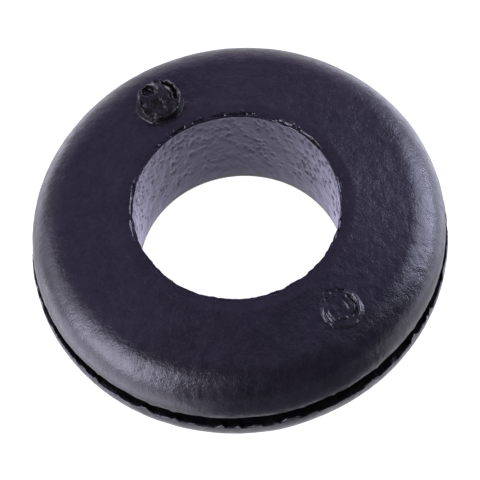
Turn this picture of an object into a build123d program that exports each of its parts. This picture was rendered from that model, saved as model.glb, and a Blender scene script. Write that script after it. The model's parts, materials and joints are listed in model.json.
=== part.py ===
from build123d import *
import math
import os

# Rubber grommet: one moulded ring with a straight bore for a cable, two domed
# flanges and a groove between them that grips the edge of a round panel hole.
# The origin is at the centre of the underside, +Z runs up the bore.
# All lengths are in millimetres and all angles in degrees.

# Sizes that fit other things
bore_diameter = 12.7
panel_hole_diameter = 19.05
groove_width = 1.15

# Flanges
upper_flange_diameter = 25.4
lower_flange_diameter = 25.6
upper_flange_thickness = 3.4
lower_flange_thickness = 3.05
upper_shoulder_radius = 2.65
lower_shoulder_radius = 2.65
upper_lip_height = 0.1
lower_lip_height = 0.1

# Flat ring round each mouth of the bore, whose rims the mould leaves sharp
mouth_land_width = 0.8

# Torn-off gates on the upper face: a tall stub and a low one. Each stub has a
# crescent-shaped tear along one side, which leaves a thin rim standing there.
tall_gate_diameter = 2.65
tall_gate_height = 1.0
tall_gate_circle_radius = 8.95
tall_gate_azimuth = 116.5
tall_tear_depth = 0.45
tall_tear_direction = 30.0
low_gate_diameter = 2.75
low_gate_height = 0.3
low_gate_circle_radius = 9.4
low_gate_azimuth = 307.7
low_tear_depth = 0.25
low_tear_direction = 5.0
gate_draft = 4.0
gate_top_radius = 0.12
tear_width = 0.4
tear_rim_width = 0.2

# Heights above the underside
groove_floor = lower_flange_thickness
groove_roof = groove_floor + groove_width
total_height = groove_roof + upper_flange_thickness

# Radii from the bore axis
bore_radius = bore_diameter / 2
land_radius = bore_radius + mouth_land_width
root_radius = panel_hole_diameter / 2


def dome_tangent(land_height, shoulder_centre, shoulder_radius):
    """Point where the cone from the mouth's land runs into the shoulder's arc.

    Heights count outwards from the groove, so both flanges use the same sum.
    The second value is the cone's fall in degrees.
    """
    across = land_radius - shoulder_centre[0]
    above = land_height - shoulder_centre[1]
    reach = math.hypot(across, above)
    fall = math.atan2(across, above) + math.acos(shoulder_radius / reach)
    touch = (
        shoulder_centre[0] + shoulder_radius * math.sin(fall),
        shoulder_centre[1] + shoulder_radius * math.cos(fall),
    )
    return touch, math.degrees(fall)


def flange_outline(groove_face, outer_face, flange_diameter, shoulder_radius, lip_height):
    """Half section of one flange, from its groove face to its outer face."""
    outward = math.copysign(1, outer_face - groove_face)
    flange_radius = flange_diameter / 2
    centre = (flange_radius - shoulder_radius, lip_height)
    touch, fall = dome_tangent(abs(outer_face - groove_face), centre, shoulder_radius)

    def height(above_groove_face):
        return groove_face + outward * above_groove_face

    mid_angle = math.radians((90 - fall) / 2)
    arc_middle = (
        centre[0] + shoulder_radius * math.cos(mid_angle),
        height(centre[1] + shoulder_radius * math.sin(mid_angle)),
    )
    with BuildSketch(Plane.XZ) as outline:
        with BuildLine():
            Line((bore_radius, groove_face), (flange_radius, groove_face))
            Line((flange_radius, groove_face), (flange_radius, height(lip_height)))
            ThreePointArc(
                (flange_radius, height(lip_height)),
                arc_middle,
                (touch[0], height(touch[1])),
            )
            Line((touch[0], height(touch[1])), (land_radius, outer_face))
            Line((land_radius, outer_face), (bore_radius, outer_face))
            Line((bore_radius, outer_face), (bore_radius, groove_face))
        make_face()
    return outline.sketch


def neck_outline():
    """Half section of the neck between the flanges, which the panel's hole fits."""
    with BuildSketch(Plane.XZ) as outline:
        with Locations((bore_radius, groove_floor)):
            Rectangle(root_radius - bore_radius, groove_width, align=(Align.MIN, Align.MIN))
    return outline.sketch


def ring_section():
    """Whole half section: the lower flange, the neck and the upper flange."""
    lower_flange = flange_outline(
        groove_floor,
        0,
        lower_flange_diameter,
        lower_shoulder_radius,
        lower_lip_height,
    )
    upper_flange = flange_outline(
        groove_roof,
        total_height,
        upper_flange_diameter,
        upper_shoulder_radius,
        upper_lip_height,
    )
    return (lower_flange + neck_outline() + upper_flange).clean()


def upper_face_height(radius):
    """Height of the upper face's cone at a distance from the bore axis."""
    centre = (upper_flange_diameter / 2 - upper_shoulder_radius, upper_lip_height)
    fall = dome_tangent(upper_flange_thickness, centre, upper_shoulder_radius)[1]
    return total_height - (radius - land_radius) * math.tan(math.radians(fall))


def tear(radius, depth, direction):
    """Crescent between two equal circles, one of them pushed aside by the tear's width.

    Its top is level with the origin, and its widest part points in the direction.
    """
    upright = (Align.CENTER, Align.CENTER, Align.MAX)
    hollow = Cylinder(radius, depth, align=upright)
    core = Pos(-tear_width, 0, 0) * Cylinder(radius, depth, align=upright)
    return Rot(0, 0, direction) * (hollow - core)


def gate_stub(diameter, height, tear_depth, tear_direction):
    """Stub of rubber left where a gate was torn off, standing on the origin.

    It has its full diameter at the origin's height, and a foot inside the flange.
    """
    foot_depth = upper_flange_thickness / 2
    taper = math.tan(math.radians(gate_draft))
    foot_radius = diameter / 2 + foot_depth * taper
    top_radius = diameter / 2 - height * taper
    upright = (Align.CENTER, Align.CENTER, Align.MIN)
    stub = Pos(0, 0, -foot_depth) * Cone(
        foot_radius,
        top_radius,
        foot_depth + height,
        align=upright,
    )
    stub = fillet(stub.edges().group_by(Axis.Z)[-1], gate_top_radius)
    return stub - Pos(0, 0, height) * tear(
        top_radius - tear_rim_width,
        tear_depth,
        tear_direction,
    )


def on_upper_face(circle_radius, azimuth):
    """Place on the upper face at a distance and a direction from the bore axis."""
    angle = math.radians(azimuth)
    return Pos(
        circle_radius * math.cos(angle),
        circle_radius * math.sin(angle),
        upper_face_height(circle_radius),
    )


def grommet():
    ring = revolve(ring_section(), Axis.Z)
    tall_gate = gate_stub(
        tall_gate_diameter,
        tall_gate_height,
        tall_tear_depth,
        tall_tear_direction,
    )
    low_gate = gate_stub(
        low_gate_diameter,
        low_gate_height,
        low_tear_depth,
        low_tear_direction,
    )
    ring += on_upper_face(tall_gate_circle_radius, tall_gate_azimuth) * tall_gate
    ring += on_upper_face(low_gate_circle_radius, low_gate_azimuth) * low_gate
    return ring


os.makedirs("parts", exist_ok=True)
export_step(grommet(), "parts/grommet.step")
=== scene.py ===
import json
import math

import bmesh
import bpy
import numpy as np
from mathutils import Matrix, Vector


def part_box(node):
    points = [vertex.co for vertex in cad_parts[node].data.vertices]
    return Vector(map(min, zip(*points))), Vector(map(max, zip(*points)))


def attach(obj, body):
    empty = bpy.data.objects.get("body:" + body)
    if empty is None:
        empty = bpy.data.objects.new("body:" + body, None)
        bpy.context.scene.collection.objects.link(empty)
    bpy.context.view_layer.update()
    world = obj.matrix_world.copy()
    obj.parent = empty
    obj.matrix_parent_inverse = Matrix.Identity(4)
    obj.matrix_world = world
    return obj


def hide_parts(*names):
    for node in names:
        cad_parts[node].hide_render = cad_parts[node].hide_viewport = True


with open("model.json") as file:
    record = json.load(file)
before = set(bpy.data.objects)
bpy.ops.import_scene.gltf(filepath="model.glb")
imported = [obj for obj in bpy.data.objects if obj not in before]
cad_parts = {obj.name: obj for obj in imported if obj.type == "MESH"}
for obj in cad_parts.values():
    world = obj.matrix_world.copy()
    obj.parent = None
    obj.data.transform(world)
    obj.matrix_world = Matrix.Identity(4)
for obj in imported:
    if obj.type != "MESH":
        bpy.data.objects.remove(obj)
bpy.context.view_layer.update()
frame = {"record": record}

# The rubber grommet is one closed skin with the part's own section. Texture, flash, pits
# and torn gates are moved into its points, and then it gets its rubber and its studio.
# Lengths on the ring and the camera's place are in millimetres until they go into
# Blender in metres. Lengths in the studio are in metres.
MM = 0.001
mounts = {mount["name"]: mount for mount in frame["record"]["mounts"]}
bore_radius = mounts["bore"]["dims"]["r_mm"]
total_height = mounts["bore"]["dims"]["length_mm"]
groove_middle = mounts["panel_groove"]["pos_m"][2] / MM
lower_flange_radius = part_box("grommet")[1][0] / MM

# The rest of the half section, as in the part's own drawing
groove_width = 1.15
root_radius = 9.525
upper_flange_radius = 12.7
shoulder_radius = 2.65
lip_height = 0.1
mouth_land_width = 0.8
groove_floor = groove_middle - groove_width / 2
groove_roof = groove_middle + groove_width / 2
land_radius = bore_radius + mouth_land_width
arc_radius = upper_flange_radius - shoulder_radius

# Torn-off gates on the upper face, within 0.2 mm of their places in the part's own
# drawing. A gate's top is covered in lumps, falls off towards the near side and has a
# hollow bitten out of it. The hollow's place is a direction in degrees and a share of
# the gate's radius, and its reach is a share too. Blackness is how far the gate's rubber
# turns to a deeper, warmer black that is partly the torn rubber's own tone and partly
# painted shade. The tears are ridges and slits that run round the gate's middle: the
# directions in degrees and the shares of the radius where one starts and ends, its half
# width as a share too, and its height, which is negative for a slit.
tall_gate = {
    "radius": 1.4,
    "height": 0.94,
    "circle_radius": 8.88,
    "azimuth": math.radians(117.6),
    "lump_height": 0.09,
    "blackness": 0.85,
    "fall": 0.27,
    "hollow_place": (128.0, 0.72),
    "hollow_reach": 0.4,
    "hollow_depth": 0.42,
    "tears": [
        (72.0, 0.95, 2.0, 0.88, 0.1, 0.2),
        (86.0, 0.83, -14.0, 0.74, 0.1, -0.34),
        (66.0, 0.68, 2.0, 0.62, 0.07, 0.1),
        (60.0, 0.57, -6.0, 0.52, 0.06, -0.14),
        (50.0, 0.45, 0.0, 0.42, 0.06, 0.08),
        (128.0, 1.0, 94.0, 0.96, 0.08, 0.14),
        (108.0, 0.92, 86.0, 0.42, 0.12, 0.14),
        (165.0, 0.96, 216.0, 0.94, 0.08, 0.2),
        (170.0, 0.82, 216.0, 0.8, 0.08, -0.2),
    ],
    "seed": 11,
}
low_gate = {
    "radius": 1.27,
    "height": 0.06,
    "circle_radius": 9.37,
    "azimuth": math.radians(307.4),
    "lump_height": 0.022,
    "blackness": 0.1,
    "fall": 0.03,
    "hollow_place": (-50.0, 0.3),
    "hollow_reach": 0.34,
    "hollow_depth": 0.02,
    "tears": [
        (64.0, 0.89, -36.0, 0.87, 0.1, 0.12),
        (92.0, 0.9, 56.0, 0.92, 0.06, 0.08),
        (66.0, 0.76, -40.0, 0.72, 0.07, -0.12),
        (98.0, 0.95, 66.0, 0.97, 0.06, -0.08),
        (80.0, 0.62, -28.0, 0.6, 0.08, 0.07),
        (70.0, 0.44, -30.0, 0.44, 0.07, -0.06),
        (84.0, 0.26, -60.0, 0.26, 0.09, 0.04),
        (158.0, 0.96, 122.0, 0.9, 0.08, 0.09),
        (150.0, 0.74, 108.0, 0.68, 0.08, 0.06),
        (170.0, 0.92, 252.0, 0.96, 0.07, 0.1),
        (182.0, 0.8, 250.0, 0.84, 0.06, -0.05),
        (180.0, 0.68, 250.0, 0.71, 0.06, 0.06),
        (190.0, 0.55, 246.0, 0.57, 0.06, -0.05),
        (256.0, 0.52, 302.0, 0.5, 0.14, 0.08),
    ],
    "seed": 31,
}
gates = (tall_gate, low_gate)

# How many of a gate's radii round its middle the skin is divided again and shaped, and
# how many cuts each edge gets there
gate_reach = 1.7
gate_cuts = 2

# How finely the skin is divided: columns round the bore, and rows of faces along each
# stretch of the half section, with fewer where it is flat or hidden
columns = 480
bore_rows = 52
rim_rows = 12
land_rows = 2
face_rows = 26
shoulder_rows = 28
lip_rows = 4
groove_side_rows = 3
root_rows = 2
lower_shoulder_rows = 12
underside_rows = 6

# Band round the bore's upper mouth where torn flash shows
rim_band_width = 0.6
rim_band_radius = bore_radius + rim_band_width

# Band along each edge of the groove where the lips are ragged
lip_band_width = 0.3
lip_band_radius = upper_flange_radius - lip_band_width

# The ring is out of round by this share, longest in this direction
oval_share = 0.006
oval_azimuth = math.radians(38.0)

# Which way the outer side of a flange faces
upward = 1
downward = -1

# The noise that shapes the skin: how many seeded values it is made of, the multipliers
# that spread the corners of its lattice's cells over them, and how far each octave is
# shifted. Below, a noise is the size of its largest lumps, its octaves and its seed.
noise_values = 4096
corner_multipliers = (73856093, 19349663, 83492791)
cell_corners = 8
octave_shift = 17.3


def smooth_step(low, high, value):
    """0 below low, 1 above high, and a smooth rise between them."""
    t = np.clip((value - low) / (high - low), 0.0, 1.0)
    return t * t * (3.0 - 2.0 * t)


def bump(value, middle, half_width):
    """1 at the middle and 0 at half a width away or more, smoothly."""
    return 1.0 - smooth_step(0.0, half_width, np.abs(value - middle))


def at_least(lowest, share):
    """A share from 0 to 1, squeezed to run from a lowest value to 1."""
    return lowest + (1.0 - lowest) * share


def fade(share):
    """A rise from 0 to 1 whose slope and curvature are 0 at both ends."""
    return share * share * share * (share * (share * 6.0 - 15.0) + 10.0)


def lattice_noise(points, seed):
    """Smooth noise between -1 and 1 at points in cell units, from seeded values on a lattice.

    A corner's number holds one bit for each axis, which says on which side it lies.
    """
    table = np.random.default_rng(seed).uniform(-1.0, 1.0, noise_values)
    cell = np.floor(points).astype(np.int64)
    share = fade(points - cell)
    total = np.zeros(len(points))
    for corner in range(cell_corners):
        step = np.array([corner & 1, corner >> 1 & 1, corner >> 2 & 1])
        x, y, z = ((cell + step) * corner_multipliers).T
        weight = np.where(step == 1, share, 1.0 - share).prod(axis=1)
        total += table[(x ^ y ^ z) % noise_values] * weight
    return total


def fractal_noise(points, size, octaves, seed):
    """Noise whose largest lumps are about size across, with finer ones half as strong."""
    total = np.zeros(len(points))
    for octave in range(octaves):
        scale = 2.0**octave
        places = points * (scale / size) + octave_shift * octave
        total += lattice_noise(places, seed + octave) / scale
    return total


def polar(points):
    """Distance from the bore's axis and direction round it."""
    return np.hypot(points[:, 0], points[:, 1]), np.arctan2(points[:, 1], points[:, 0])


def on_circle(azimuth, radius):
    """Points on a level circle, where noise varies along the circle alone."""
    return radius * np.stack([np.cos(azimuth), np.sin(azimuth), 0.0 * azimuth], axis=1)


def straight(start, end, rows):
    """Section points from start up to, but without, end."""
    share = np.arange(rows) / rows
    return np.outer(1.0 - share, start) + np.outer(share, end)


def on_shoulder(centre, side, angles):
    """Section points on a shoulder's arc, at angles counted from the groove's side."""
    across = centre[0] + shoulder_radius * np.cos(angles)
    above = centre[1] + side * shoulder_radius * np.sin(angles)
    return np.stack([across, above], axis=-1)


def shoulder_arc(centre, side, first, last, rows):
    """Section points on a shoulder's arc from one angle up to, but without, another."""
    return on_shoulder(centre, side, first + (last - first) * np.arange(rows) / rows)


def cone_touch(centre, side, face):
    """Angle on the shoulder's arc where the cone from the mouth's land touches it."""
    across = land_radius - centre[0]
    above = side * (face - centre[1])
    reach = math.hypot(across, above)
    fall = math.atan2(across, above) + math.acos(shoulder_radius / reach)
    return math.pi / 2 - fall


def section():
    """The closed half section, from the bore's lower rim up and round."""
    upper_centre = (arc_radius, groove_roof + lip_height)
    lower_centre = (lower_flange_radius - shoulder_radius, groove_floor - lip_height)
    upper_touch = cone_touch(upper_centre, upward, total_height)
    lower_touch = cone_touch(lower_centre, downward, 0.0)
    upper_start = on_shoulder(upper_centre, upward, upper_touch)
    lower_end = on_shoulder(lower_centre, downward, lower_touch)
    upper_lip = (upper_flange_radius, groove_roof)
    lower_lip = (lower_flange_radius, groove_floor)
    upper_inside = (lip_band_radius, groove_roof)
    lower_inside = (lip_band_radius, groove_floor)
    stretches = [
        straight((bore_radius, 0.0), (bore_radius, total_height), bore_rows),
        straight((bore_radius, total_height), (rim_band_radius, total_height), rim_rows),
        straight((rim_band_radius, total_height), (land_radius, total_height), land_rows),
        straight((land_radius, total_height), upper_start, face_rows),
        shoulder_arc(upper_centre, upward, upper_touch, 0.0, shoulder_rows),
        straight((upper_flange_radius, upper_centre[1]), upper_lip, lip_rows),
        straight(upper_lip, upper_inside, lip_rows),
        straight(upper_inside, (root_radius, groove_roof), groove_side_rows),
        straight((root_radius, groove_roof), (root_radius, groove_floor), root_rows),
        straight((root_radius, groove_floor), lower_inside, groove_side_rows),
        straight(lower_inside, lower_lip, lip_rows),
        straight(lower_lip, (lower_flange_radius, lower_centre[1]), lip_rows),
        shoulder_arc(lower_centre, downward, 0.0, lower_touch, lower_shoulder_rows),
        straight(lower_end, (land_radius, 0.0), underside_rows),
        straight((land_radius, 0.0), (bore_radius, 0.0), land_rows),
    ]
    return np.concatenate(stretches)


def ring_mesh():
    """The section turned round the bore into a closed skin of quads."""
    outline = section()
    rows = len(outline)
    azimuth = np.arange(columns) * 2.0 * math.pi / columns
    points = np.empty((columns, rows, 3))
    points[..., 0] = np.outer(np.cos(azimuth), outline[:, 0])
    points[..., 1] = np.outer(np.sin(azimuth), outline[:, 0])
    points[..., 2] = outline[:, 1]
    column, row = np.meshgrid(np.arange(columns), np.arange(rows), indexing="ij")
    next_column = (column + 1) % columns
    next_row = (row + 1) % rows
    corners = [
        column * rows + row,
        column * rows + next_row,
        next_column * rows + next_row,
        next_column * rows + row,
    ]
    quads = np.stack(corners, axis=-1).reshape(-1, 4)
    mesh = bpy.data.meshes.new("grommet_body")
    mesh.from_pydata(points.reshape(-1, 3).tolist(), [], quads.tolist())
    return mesh


def gate_centre(gate):
    """The gate's middle as seen from above."""
    turn = gate["azimuth"]
    return gate["circle_radius"] * np.array([math.cos(turn), math.sin(turn)])


def refine_gates(mesh):
    """Divides the faces round each gate again, so that its torn shape has room."""
    skin = bmesh.new()
    skin.from_mesh(mesh)
    near = set()
    for face in skin.faces:
        middle = face.calc_center_median()
        for gate in gates:
            away = math.dist(middle.xy, gate_centre(gate))
            if middle.z > groove_roof and away < gate["radius"] * gate_reach:
                near.add(face.index)
    edges = [edge for edge in skin.edges if any(f.index in near for f in edge.link_faces)]
    bmesh.ops.subdivide_edges(skin, edges=edges, cuts=gate_cuts, use_grid_fill=True)
    skin.to_mesh(mesh)
    skin.free()


# The skin's relief: long waves, pebbles, and streaks that run down the shoulders and
# reach their full height across streak_band. The streaks' cells are counted for each
# radian round the bore, and for each millimetre outwards and upwards. The flat ring that
# the grommet stands on is plain, and the relief grows up to full_relief_height.
wave_height = 0.022
wave_noise = (4.5, 2, 21)
pebble_height = 0.008
pebble_noise = (0.9, 3, 22)
streak_height = 0.005
streak_band = (arc_radius + 0.4, arc_radius + 1.4)
streak_cells = (60.0, 0.7, 0.7)
streak_seed = 23
full_relief_height = 1.0


def skin_relief(points):
    """How far the moulded skin stands out from its plain form."""
    radius, azimuth = polar(points)
    waves = wave_height * fractal_noise(points, *wave_noise)
    pebbles = pebble_height * fractal_noise(points, *pebble_noise)
    shoulder = smooth_step(*streak_band, radius)
    streak_places = np.stack([azimuth, radius, points[:, 2]], axis=1) * streak_cells
    streaks = streak_height * shoulder * lattice_noise(streak_places, streak_seed)
    above_floor = smooth_step(0.0, full_relief_height, points[:, 2])
    return (waves + pebbles + streaks) * above_floor


def add_ovality(points):
    """The soft ring is a little out of round, more so towards its outside."""
    radius, azimuth = polar(points)
    share = smooth_step(bore_radius, upper_flange_radius, radius)
    stretch = 1.0 + oval_share * share * np.cos(2.0 * (azimuth - oval_azimuth))
    points[:, :2] *= stretch[:, None]


# The bore's wall, apart from a plain edge at each end: mottles that are long up the
# wall, wider swells, and ragged pits. A pit's place is a share of the wall's height,
# raised to a power that crowds the pits towards the upper end. Its depth is a share of
# its radius, and it is stretched up the wall.
wall_tolerance = 0.001
wall_edge = 0.15
mottle_depth = 0.016
mottle_noise = (0.4, 2, 33)
mottle_scale = (1.0, 1.0, 0.35)
swell_depth = 0.012
swell_noise = (1.6, 1, 34)
pit_raggedness = 0.13
pit_ragged_noise = (0.2, 2, 35)
pit_count = 1700
pit_heights = (0.05, 0.98)
pit_height_power = 0.5
pit_radii = (0.05, 0.095)
pit_stretches = (1.4, 2.6)
pit_steepness = 0.8
pit_seed = 31


def add_bore_pits(points):
    """Small pits in the bore's wall, more of them near its upper end."""
    radius, azimuth = polar(points)
    wall = (radius < bore_radius + wall_tolerance) & (points[:, 2] > wall_edge)
    wall &= points[:, 2] < total_height - wall_edge
    around = azimuth[wall] * bore_radius
    height = points[wall, 2]
    depth = mottle_depth * fractal_noise(points[wall] * mottle_scale, *mottle_noise)
    depth += swell_depth * fractal_noise(points[wall], *swell_noise)
    ragged = pit_raggedness * fractal_noise(points[wall], *pit_ragged_noise)
    draw = np.random.default_rng(pit_seed)
    for _ in range(pit_count):
        pit_around = draw.uniform(-math.pi, math.pi) * bore_radius
        pit_height = total_height * draw.uniform(*pit_heights) ** pit_height_power
        pit_radius = draw.uniform(*pit_radii)
        stretch = draw.uniform(*pit_stretches)
        away = np.hypot(around - pit_around, (height - pit_height) / stretch) + ragged
        pit = bump(away, 0.0, pit_radius) * pit_radius * pit_steepness
        depth = np.maximum(depth, pit)
    points[wall, :2] *= (1.0 + depth / bore_radius)[:, None]


# Torn flash round the bore's upper mouth: a thin fringe on the rim that leans inwards, a
# crack that wanders behind it, crumbs behind the crack, and specks over them all. Places
# and widths count outwards from the rim. A range is where a noise, or the sine of the
# direction, goes from none of a thing to all of it. All but the fringe is weaker on the
# near side.
rim_band_depth = 0.05
ragged_noise = (0.45, 3, 41)
wander_noise = (1.2, 3, 42)
patch_noise = (2.2, 2, 43)
patch_range = (-0.5, 0.4)
far_side_range = (-0.7, 0.3)
near_side_strength = 0.35
fringe_height = 0.03
fringe_range = (-0.5, 0.8)
fringe_width = 0.08
lean = 0.04
least_lean = 0.3
lean_width = 0.12
crack_depth = 0.05
crack_patch_depth = 0.11
crack_range = (-1.1, 0.3)
crack_place = 0.13
crack_wander = 0.05
crack_half_width = 0.12
crumb_height = 0.075
crumb_noise = (0.3, 2, 45)
crumb_range = (0.1, 0.9)
crumb_least_patch = 0.4
crumb_place = 0.3
crumb_half_width = 0.22
speck_height = 0.035
speck_noise = (0.22, 2, 44)
speck_start = (0.0, 0.08)
speck_end = (0.25, 0.55)


def add_rim_flash(points):
    """A thin torn fringe round the upper mouth of the bore, with a crack behind it."""
    radius, azimuth = polar(points)
    band = (points[:, 2] > total_height - rim_band_depth) & (radius < rim_band_radius)
    ring = on_circle(azimuth[band], bore_radius)
    out = radius[band] - bore_radius
    ragged = fractal_noise(ring, *ragged_noise)
    wander = fractal_noise(ring, *wander_noise)
    patchy = smooth_step(*patch_range, fractal_noise(ring, *patch_noise))
    torn = fractal_noise(points[band], *speck_noise)
    crumbs = smooth_step(*crumb_range, fractal_noise(points[band], *crumb_noise))
    far_side = smooth_step(*far_side_range, np.sin(azimuth[band]))
    strength = at_least(near_side_strength, far_side)
    fringe = fringe_height * smooth_step(*fringe_range, ragged) * bump(out, 0.0, fringe_width)
    crack = (crack_depth + crack_patch_depth * patchy) * smooth_step(*crack_range, ragged)
    crack *= strength * bump(out, crack_place + crack_wander * wander, crack_half_width)
    raised = crumb_height * crumbs * at_least(crumb_least_patch, patchy) * strength
    raised *= bump(out, crumb_place, crumb_half_width)
    specks = speck_height * torn * strength * (1.0 - smooth_step(*speck_end, out))
    points[band, 2] += fringe - crack + raised + specks * smooth_step(*speck_start, out)
    inward = lean * (least_lean + ragged) * bump(out, 0.0, lean_width)
    points[band, :2] *= (1.0 - inward / radius[band])[:, None]


# Ragged flash along the groove's two lips, as far in as lip_edge_width and as far up and
# down as each lip's reach. Both lips are wavy and nicked, strips hang from the upper one,
# and bits stand in patches on the lower one, taller towards taller_azimuth. A range is
# where a noise, or the cosine from that azimuth, goes from none of a thing to all of it.
lip_edge_width = 0.25
upper_lip_reach = 0.2
lower_lip_reach = 0.22
lip_wave_noise = (1.1, 3, 51)
nick_noise = (0.4, 2, 52)
bit_noise = (0.36, 2, 54)
bit_range = (0.05, 0.5)
bit_patch_noise = (2.2, 2, 55)
bit_patch_range = (-0.7, 0.2)
strip_noise = (0.7, 2, 56)
strip_range = (0.3, 0.9)
upper_wave_height = 0.05
upper_nick_height = 0.05
strip_length = 0.16
lower_nick_height = 0.06
bit_height = 0.2
taller_by = 0.16
taller_azimuth = math.radians(-40.0)
taller_range = (-0.2, 0.8)
upper_nick_outward = 0.02
lower_wave_outward = 0.025
bit_inward = 0.05


def add_lip_flash(points):
    """Ragged moulding flash along the groove's two edges, with torn bits on the lower one."""
    radius, azimuth = polar(points)
    ring = on_circle(azimuth, upper_flange_radius)
    wavy = fractal_noise(ring, *lip_wave_noise)
    nicks = fractal_noise(ring, *nick_noise)
    bits = smooth_step(*bit_range, fractal_noise(ring, *bit_noise))
    bits *= smooth_step(*bit_patch_range, fractal_noise(ring, *bit_patch_noise))
    strips = smooth_step(*strip_range, fractal_noise(ring, *strip_noise))
    taller = smooth_step(*taller_range, np.cos(azimuth - taller_azimuth))
    outside = smooth_step(upper_flange_radius - lip_edge_width, upper_flange_radius, radius)
    upper = outside * bump(points[:, 2], groove_roof, upper_lip_reach)
    lower = outside * bump(points[:, 2], groove_floor, lower_lip_reach)
    hanging = upper_wave_height * wavy + upper_nick_height * nicks - strip_length * strips
    standing = (bit_height + taller_by * taller) * bits + lower_nick_height * nicks
    points[:, 2] += upper * hanging
    points[:, 2] += lower * standing
    outward = upper * upper_nick_outward * nicks
    outward += lower * (lower_wave_outward * wavy - bit_inward * bits)
    points[:, :2] *= (1.0 + outward / radius)[:, None]


# A tear tapers off between these shares of its half length
tear_taper = (0.75, 1.05)


def tear_profile(share, around, tear):
    """How strongly a place lies in one tear, from 0 to 1, with tapered ends."""
    start, start_share, end, end_share, half_width, _ = tear
    middle = math.radians((start + end) / 2.0)
    half_turn = math.radians(abs(end - start) / 2.0)
    turned = (around - middle + math.pi) % (2.0 * math.pi) - math.pi
    along = np.clip(math.copysign(1.0, end - start) * turned / half_turn, -1.0, 1.0)
    line = (start_share + end_share) / 2.0 + along * (end_share - start_share) / 2.0
    taper = 1.0 - smooth_step(*tear_taper, np.abs(turned) / half_turn)
    return taper * bump(share, line, half_width)


def gate_noise(places, size, octaves, seed_step, gate):
    """Noise that differs from gate to gate, with its seed counted from the gate's own."""
    return fractal_noise(places, size, octaves, gate["seed"] + seed_step)


# The torn top of a gate. A noise here is the size of its largest lumps, its octaves and
# the step from the gate's seed to its own. Noises bend the tears across their run, in
# shares of the gate's radius, and along it, in radians, and make their heights uneven by
# a share. The rest is in shares of the gate's radius: where the top falls off, how much
# steeper that gets, how ragged the hollow is, and how far out its bottom is level.
tear_bend = 0.05
tear_bend_noise = (0.45, 3, 0)
tear_turn = 0.08
tear_turn_noise = (0.5, 2, 2)
tear_unevenness = 0.25
tear_uneven_noise = (0.4, 2, 4)
lump_noise = (0.6, 4, 3)
fall_range = (-0.25, 1.1)
fall_steepening = 0.5
hollow_raggedness = 0.16
hollow_noise = (0.4, 3, 6)
hollow_bottom = 0.1


def torn_top(flat, share, around, gate):
    """Height of a gate's torn top above its nominal height, which may be negative."""
    places = np.column_stack([flat, 0.0 * share])
    ragged_share = share + tear_bend * gate_noise(places, *tear_bend_noise, gate)
    ragged_turn = around + tear_turn * gate_noise(places, *tear_turn_noise, gate)
    uneven = 1.0 + tear_unevenness * gate_noise(places, *tear_uneven_noise, gate)
    height = gate["lump_height"] * gate_noise(places, *lump_noise, gate)
    for tear in gate["tears"]:
        height += tear[-1] * uneven * tear_profile(ragged_share, ragged_turn, tear)
    downhill = -flat[:, 1] / gate["radius"]
    steeper = 1.0 + fall_steepening * downhill
    height -= gate["fall"] * smooth_step(*fall_range, downhill) * steeper
    direction, out = gate["hollow_place"]
    turn = math.radians(direction)
    hollow = out * gate["radius"] * np.array([math.cos(turn), math.sin(turn)])
    away = np.hypot(*(flat - hollow).T) / gate["radius"]
    away += hollow_raggedness * gate_noise(places, *hollow_noise, gate)
    bitten = 1.0 - smooth_step(hollow_bottom, gate["hollow_reach"], away)
    return height - gate["hollow_depth"] * bitten


# How the skin's rings round a gate are shared out, as shares of the gate's radius: the
# rings out to wall_top make the torn top, and those out to wall_foot its wall. The wall
# is moved to stand between placed_top and placed_foot. Noises like those above make it
# ragged, and scuffs surround its foot.
wall_top = 0.64
wall_foot = 1.12
placed_top = 0.94
placed_foot = 1.06
wall_raggedness = 0.05
wall_ragged_noise = (0.7, 3, 5)
wall_roughness = 0.04
wall_rough_noise = (0.4, 3, 1)
scuff_height = 0.02
scuff_noise = (0.5, 2, 8)
scuff_half_width = 0.5


def shape_gate(points, gate):
    """Raises one torn stub out of the upper face.

    The skin's rings round the gate are shared out between the stub's torn top, its
    wall and the face round its foot, so that the steep wall has faces of its own.
    """
    centre = gate_centre(gate)
    away = np.hypot(*(points[:, :2] - centre).T)
    near = (points[:, 2] > groove_roof) & (away < gate["radius"] * gate_reach)
    around = np.arctan2(points[near, 1] - centre[1], points[near, 0] - centre[0])
    share = away[near] / gate["radius"]
    rings = (0.0, wall_top, wall_foot, gate_reach)
    placed = np.interp(share, rings, (0.0, placed_top, placed_foot, gate_reach))
    ragged = wall_raggedness * gate_noise(on_circle(around, 1.0), *wall_ragged_noise, gate)
    rough = wall_roughness * gate_noise(points[near], *wall_rough_noise, gate)
    edge = bump(share, (wall_top + wall_foot) / 2, wall_foot - wall_top)
    placed *= 1.0 + (ragged + rough) * edge
    outward = np.column_stack([np.cos(around), np.sin(around)])
    flat = outward * (placed * gate["radius"])[:, None]
    rise = 1.0 - smooth_step(wall_top, wall_foot, share)
    height = (gate["height"] + torn_top(flat, placed, around, gate)) * rise
    scuffs = scuff_height * gate_noise(points[near], *scuff_noise, gate)
    scuffs *= bump(share, wall_foot, scuff_half_width)
    points[near, :2] = centre + flat
    points[near, 2] += height + scuffs


# Scales for the object's coordinates in the material, and their origin. The grain is
# twice as long up the walls, and the other scales keep all of a place, its level part or
# its upright part.
grain_scale = (1.0, 1.0, 0.5)
whole = (1.0, 1.0, 1.0)
level = (1.0, 1.0, 0.0)
upright = (0.0, 0.0, 1.0)
origin = (0.0, 0.0, 0.0)


def scaled_places(tree, scale):
    """The object's own coordinates, scaled along each axis."""
    places = tree.nodes.new("ShaderNodeTexCoord").outputs["Object"]
    node = tree.nodes.new("ShaderNodeVectorMath")
    node.operation = "MULTIPLY"
    node.inputs[1].default_value = scale
    tree.links.new(places, node.inputs[0])
    return node.outputs["Vector"]


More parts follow.
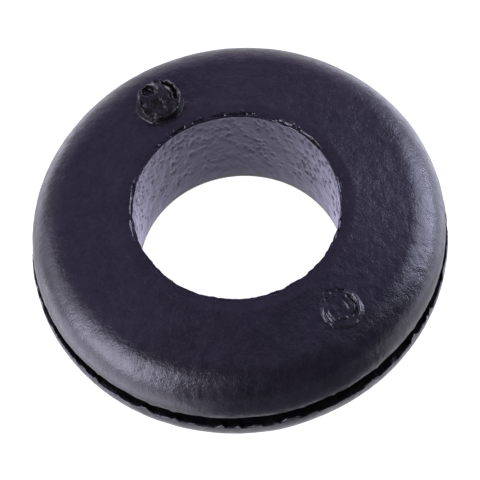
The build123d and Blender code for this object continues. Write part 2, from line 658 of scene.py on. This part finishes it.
def distance_from(tree, point, scale):
    """How far a place is from a point, in metres, once the place is scaled."""
    node = tree.nodes.new("ShaderNodeVectorMath")
    node.operation = "DISTANCE"
    node.inputs[1].default_value = point
    tree.links.new(scaled_places(tree, scale), node.inputs[0])
    return node.outputs["Value"]


def noise_texture(tree, size, detail):
    """Noise for the material, with lumps about size across."""
    node = tree.nodes.new("ShaderNodeTexNoise")
    node.inputs["Scale"].default_value = 1.0 / (size * MM)
    node.inputs["Detail"].default_value = detail
    tree.links.new(scaled_places(tree, grain_scale), node.inputs["Vector"])
    return node.outputs["Fac"]


def remap(tree, value, low, high, to_low, to_high):
    """Stretches a value's range, and cuts it off at both ends."""
    node = tree.nodes.new("ShaderNodeMapRange")
    bounds = {"From Min": low, "From Max": high, "To Min": to_low, "To Max": to_high}
    for name, bound in bounds.items():
        node.inputs[name].default_value = bound
    tree.links.new(value, node.inputs["Value"])
    return node.outputs["Result"]


def multiply(tree, first, second):
    """The product of two values."""
    node = tree.nodes.new("ShaderNodeMath")
    node.operation = "MULTIPLY"
    tree.links.new(first, node.inputs[0])
    tree.links.new(second, node.inputs[1])
    return node.outputs["Value"]


def within(tree, distance, full, none, share=1.0):
    """A share that holds out to the distance full and fades to 0 at the distance none.

    Those two are in millimetres, and the distance that a node gives is in metres.
    """
    return remap(tree, distance, full * MM, none * MM, share, 0.0)


# Where the gates' darker black, partly painted shade, fades, in shares of a gate's radius.
# Where the groove's painted shade fades, in shares of half the groove's width and in
# millimetres from the bore's axis.
gate_black_fade = (0.95, 1.15)
groove_shade_fade = (1.15, 1.35)
lip_shade_fade = (upper_flange_radius - 0.1, upper_flange_radius + 0.05)


def near_gate(tree, gate):
    """The gate's blackness on its torn stub, partly painted shade, and 0 away from it."""
    x, y = gate_centre(gate)
    away = distance_from(tree, (x * MM, y * MM, total_height * MM), whole)
    full, none = (share * gate["radius"] for share in gate_black_fade)
    return within(tree, away, full, none, gate["blackness"])


def inside_groove(tree):
    """Where the groove's painted shade goes: 1 on its walls and 0 on its lips and outside it.
    """
    off_middle = distance_from(tree, (0.0, 0.0, groove_middle * MM), upright)
    full, none = (share * groove_width / 2 for share in groove_shade_fade)
    between = within(tree, off_middle, full, none)
    behind_lips = within(tree, distance_from(tree, origin, level), *lip_shade_fade)
    return multiply(tree, between, behind_lips)


def mix_colours(tree, share, first, second):
    """Blends two colours, or a colour that comes from a node and another."""
    node = tree.nodes.new("ShaderNodeMix")
    node.data_type = "RGBA"
    tree.links.new(share, node.inputs["Factor"])
    for name, colour in (("A", first), ("B", second)):
        socket = next(s for s in node.inputs if s.name == name and s.type == "RGBA")
        if isinstance(colour, tuple):
            socket.default_value = colour + (1.0,)
        else:
            tree.links.new(colour, socket)
    return next(s for s in node.outputs if s.type == "RGBA")


def add_bump(tree, height, depth, below=None):
    """Bump of a given depth in millimetres, on top of another bump if there is one."""
    node = tree.nodes.new("ShaderNodeBump")
    node.inputs["Distance"].default_value = depth * MM
    tree.links.new(height, node.inputs["Height"])
    if below is not None:
        tree.links.new(below, node.inputs["Normal"])
    return node.outputs["Normal"]


# Colours of the rubber. The torn stubs are a deeper black than the moulded skin, partly
# the torn rubber's own tone and partly painted shade, and the groove's black is painted
# shade in the recess.
dark_skin_colour = (0.0045, 0.004, 0.0057)
pale_skin_colour = (0.0078, 0.0067, 0.01)
speck_colour = (0.014, 0.012, 0.0185)
torn_and_shade_colour = (0.0035, 0.003, 0.0024)
groove_shade_colour = (0.0015, 0.0013, 0.0015)

# Patterns of the rubber: a noise is the size of its lumps and its detail, and a range is
# the part of a pattern that is spread from one finish to the other. In the bore, the
# roughness is a share of that outside.
blotch_noise = (2.2, 4.0)
grain_noise = (0.22, 3.0)
pattern_range = (0.35, 0.65)
grain_speck_range = (0.3, 1.2)
most_speck_colour = 0.4
sheen_noise = (0.6, 4.0)
sheen_range = (0.3, 0.7)
skin_roughness = (0.28, 0.39)
bore_roughness_share = 0.5
rubber_ior = 1.38

# Bumps of the rubber: the size of the lumps, the detail and the depth
rubber_bumps = ((0.6, 3.0, 0.05), (0.2, 2.0, 0.012), (0.1, 2.0, 0.008))


def rubber_colour(tree):
    """Faint blotches and fine specks on the skin, a deeper black on the torn stubs that is
    partly painted shade, and painted shade in the groove.
    """
    blotches = remap(tree, noise_texture(tree, *blotch_noise), *pattern_range, 0.0, 1.0)
    grain = remap(tree, noise_texture(tree, *grain_noise), *pattern_range, 0.0, 1.0)
    specks = remap(tree, grain, *grain_speck_range, 0.0, most_speck_colour)
    colour = mix_colours(tree, blotches, dark_skin_colour, pale_skin_colour)
    colour = mix_colours(tree, specks, colour, speck_colour)
    # The stubs' deeper black is partly painted shade of the tall stub's shaded front.
    for gate in gates:
        colour = mix_colours(tree, near_gate(tree, gate), colour, torn_and_shade_colour)
    # Painted shade: the groove's walls are painted a deeper black.
    return mix_colours(tree, inside_groove(tree), colour, groove_shade_colour)


def rubber_roughness(tree):
    """A satin finish that varies a little, and is smoother in the bore."""
    roughness = remap(tree, noise_texture(tree, *sheen_noise), *sheen_range, *skin_roughness)
    from_axis = distance_from(tree, origin, level)
    rim = (bore_radius * MM, rim_band_radius * MM)
    return multiply(tree, roughness, remap(tree, from_axis, *rim, bore_roughness_share, 1.0))


def rubber():
    """Black moulded rubber: fine grain, faint blotches and a satin finish."""
    material = bpy.data.materials.new("rubber")
    material.use_nodes = True
    tree = material.node_tree
    shader = tree.nodes["Principled BSDF"]
    tree.links.new(rubber_colour(tree), shader.inputs["Base Color"])
    tree.links.new(rubber_roughness(tree), shader.inputs["Roughness"])
    normal = None
    for size, detail, depth in rubber_bumps:
        normal = add_bump(tree, noise_texture(tree, size, detail), depth, normal)
    tree.links.new(normal, shader.inputs["Normal"])
    shader.inputs["IOR"].default_value = rubber_ior
    return material


def make_body():
    """The whole grommet as one skin, with its texture, flash, pits and torn gates."""
    mesh = ring_mesh()
    refine_gates(mesh)
    points = np.empty(len(mesh.vertices) * 3)
    normals = np.empty(len(mesh.vertices) * 3)
    mesh.vertices.foreach_get("co", points)
    mesh.vertices.foreach_get("normal", normals)
    points = points.reshape(-1, 3)
    relief = skin_relief(points)[:, None] * normals.reshape(-1, 3)
    add_bore_pits(points)
    add_rim_flash(points)
    add_lip_flash(points)
    for gate in gates:
        shape_gate(points, gate)
    points += relief
    add_ovality(points)
    mesh.vertices.foreach_set("co", (points * MM).ravel())
    mesh.shade_smooth()
    mesh.update()
    body = bpy.data.objects.new("grommet_body", mesh)
    bpy.context.scene.collection.objects.link(body)
    body.data.materials.append(rubber())
    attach(body, "root")
    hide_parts("grommet")


# The studio's flat surfaces are matt, and what lies on the floor is lifted off it by
# this much, in metres
matt_roughness = 0.9
lying_height = 0.0003


def flat_surface(name, corners, colour):
    """One flat matt surface with four corners, and its shader."""
    mesh = bpy.data.meshes.new(name)
    mesh.from_pydata(corners, [], [(0, 1, 2, 3)])
    surface = bpy.data.objects.new(name, mesh)
    bpy.context.scene.collection.objects.link(surface)
    material = bpy.data.materials.new(name)
    material.use_nodes = True
    surface.data.materials.append(material)
    shader = material.node_tree.nodes["Principled BSDF"]
    shader.inputs["Base Color"].default_value = colour
    shader.inputs["Roughness"].default_value = matt_roughness
    shader.inputs["Specular IOR Level"].default_value = 0.0
    return surface, shader


# The floor reaches this far each way, in metres. It glows, as a light table does, just
# enough to show as white.
floor_half = 2.0
floor_colour = (0.15, 0.15, 0.15, 1.0)
floor_glow_colour = (0.96, 0.95, 1.0, 1.0)
floor_glow = 1.08


def make_floor():
    """A plain pale floor, lit partly from below."""
    half = floor_half
    corners = [(-half, -half, 0.0), (half, -half, 0.0), (half, half, 0.0), (-half, half, 0.0)]
    floor, shader = flat_surface("floor", corners, floor_colour)
    shader.inputs["Emission Color"].default_value = floor_glow_colour
    shader.inputs["Emission Strength"].default_value = floor_glow


# A grey card that lies on the floor before the ring, so that the front of the ring
# reflects less light. Its near and far edges are given by their distance from the
# bore's axis and their half width, in metres.
card_turn = math.radians(286.0)
card_edges = ((0.0145, 0.009), (0.15, 0.09))
card_colour = (0.15, 0.15, 0.16, 1.0)


def make_card():
    """The grey card, which only reflections show."""
    toward = Vector((math.cos(card_turn), math.sin(card_turn), 0.0))
    across = Vector((-toward.y, toward.x, 0.0))
    lift = Vector((0.0, 0.0, lying_height))
    (near, near_half), (far, far_half) = card_edges
    corners = [
        toward * near - across * near_half + lift,
        toward * far - across * far_half + lift,
        toward * far + across * far_half + lift,
        toward * near + across * near_half + lift,
    ]
    card, _ = flat_surface("card", corners, card_colour)
    card.visible_camera = False
    card.visible_shadow = False
    card.visible_diffuse = False


# The camera stands far off and looks steeply down on the near side, rolled a little. It
# aims beside a point on the bore's axis, by so many pixels of the frame. Its sensor is
# in millimetres, and its clips are in metres.
camera_distance = 381.0
camera_elevation = math.radians(61.468)
camera_roll = math.radians(5.603)
pixels_per_mm = 16.2716
frame_pixels = 480
aim_height = 3.79
aim_right_pixels = 0.54
aim_up_pixels = -3.44
sensor_width = 36.0
nearest_clip = 0.01
farthest_clip = 10.0


def make_camera():
    """Camera at the photograph's angle, with the bore's middle a little above the centre."""
    back = Vector((0, -math.cos(camera_elevation), math.sin(camera_elevation)))
    level_right = Vector((1, 0, 0))
    level_up = back.cross(level_right)
    right = level_right * math.cos(camera_roll) - level_up * math.sin(camera_roll)
    up = level_up * math.cos(camera_roll) + level_right * math.sin(camera_roll)
    aim = Vector((0, 0, aim_height))
    aim += right * (aim_right_pixels / pixels_per_mm)
    aim += up * (aim_up_pixels / pixels_per_mm)
    place = (aim + back * camera_distance) * MM
    data = bpy.data.cameras.new("camera")
    data.sensor_width = sensor_width
    data.lens = sensor_width * pixels_per_mm * camera_distance / frame_pixels
    data.clip_start = nearest_clip
    data.clip_end = farthest_clip
    camera = bpy.data.objects.new("camera", data)
    bpy.context.scene.collection.objects.link(camera)
    turn = Matrix((right, up, back)).transposed()
    camera.matrix_world = Matrix.Translation(place) @ turn.to_4x4()
    bpy.context.scene.camera = camera


# Colours of the lights: the studio's white is a little violet, and bluer at the right.
# The pad in the bore is a deep blue, which tints the bore's wall.
left_tint = (0.95, 0.91, 1.14)
right_tint = (0.88, 0.9, 1.22)
back_tint = (0.96, 0.79, 1.25)
overhead_tint = (0.88, 0.71, 1.41)
bore_tint = (0.15, 0.0, 1.0)

# Soft boxes that stand at one distance round the ring and face it: their direction and
# rise in degrees, their width and height in metres, their radiance and their colour
box_distance = 0.8
soft_boxes = {
    "left_high": (209, 39, 0.42, 0.4, 12.0, left_tint),
    "left_low": (206, 12, 0.6, 0.36, 13.5, left_tint),
    "left_wide": (167, 17, 0.5, 0.42, 3.9, left_tint),
    "right_high": (24, 37, 0.58, 0.26, 6.2, right_tint),
    "right_mid": (28, 21, 0.62, 0.26, 8.5, right_tint),
    "right_low": (20, 5, 0.5, 0.12, 20.0, right_tint),
    "back": (95, 14, 1.2, 0.35, 1.25, back_tint),
    "overhead": (90, 60, 1.4, 0.76, 0.5, overhead_tint),
}

# Light pads that lie on the floor and face up, one inside the bore and the others
# beside the ring: their direction in degrees, their distance, their width across that
# direction and their length along it in metres, their radiance and their colour
light_pads = {
    "bore_pad": (0, 0.0, 0.0125, 0.0125, 0.36, bore_tint),
    "left_pad": (210, 0.034, 0.026, 0.036, 2.8, left_tint),
    "left_front_pad": (224, 0.036, 0.016, 0.04, 2.1, left_tint),
    "back_left_pad": (144, 0.032, 0.022, 0.026, 1.5, left_tint),
    "right_pad": (20, 0.038, 0.05, 0.044, 1.6, right_tint),
}

# A dim even fill from all round
fill_strength = 0.03


def make_area_light(name, width, height, radiance, tint):
    """One rectangle of light, unseen by the camera."""
    data = bpy.data.lights.new(name, "AREA")
    data.shape = "RECTANGLE"
    data.size = width
    data.size_y = height
    data.color = tint
    data.energy = radiance * math.pi * width * height
    light = bpy.data.objects.new(name, data)
    bpy.context.scene.collection.objects.link(light)
    light.visible_camera = False
    return light


def make_soft_boxes():
    """The soft boxes, each facing the origin."""
    for name, (turn, rise, width, height, radiance, tint) in soft_boxes.items():
        light = make_area_light(name, width, height, radiance, tint)
        across = math.cos(math.radians(rise))
        x = across * math.cos(math.radians(turn))
        y = across * math.sin(math.radians(turn))
        outward = Vector((x, y, math.sin(math.radians(rise))))
        light.location = outward * box_distance
        light.rotation_euler = outward.to_track_quat("Z", "Y").to_euler()


def make_light_pads():
    """The light pads, each facing up."""
    for name, (direction, away, width, length, radiance, tint) in light_pads.items():
        light = make_area_light(name, width, length, radiance, tint)
        turn = math.radians(direction)
        light.location = (away * math.cos(turn), away * math.sin(turn), lying_height)
        light.rotation_euler = (math.pi, 0, turn + math.pi / 2)


def make_fill():
    """The even fill from all round, and the standard view transform."""
    scene = bpy.context.scene
    world = bpy.data.worlds.new("studio")
    scene.world = world
    world.use_nodes = True
    background = world.node_tree.nodes["Background"]
    background.inputs["Color"].default_value = back_tint + (1.0,)
    background.inputs["Strength"].default_value = fill_strength
    scene.view_settings.view_transform = "Standard"


make_body()
make_floor()
make_card()
make_camera()
make_soft_boxes()
make_light_pads()
make_fill()
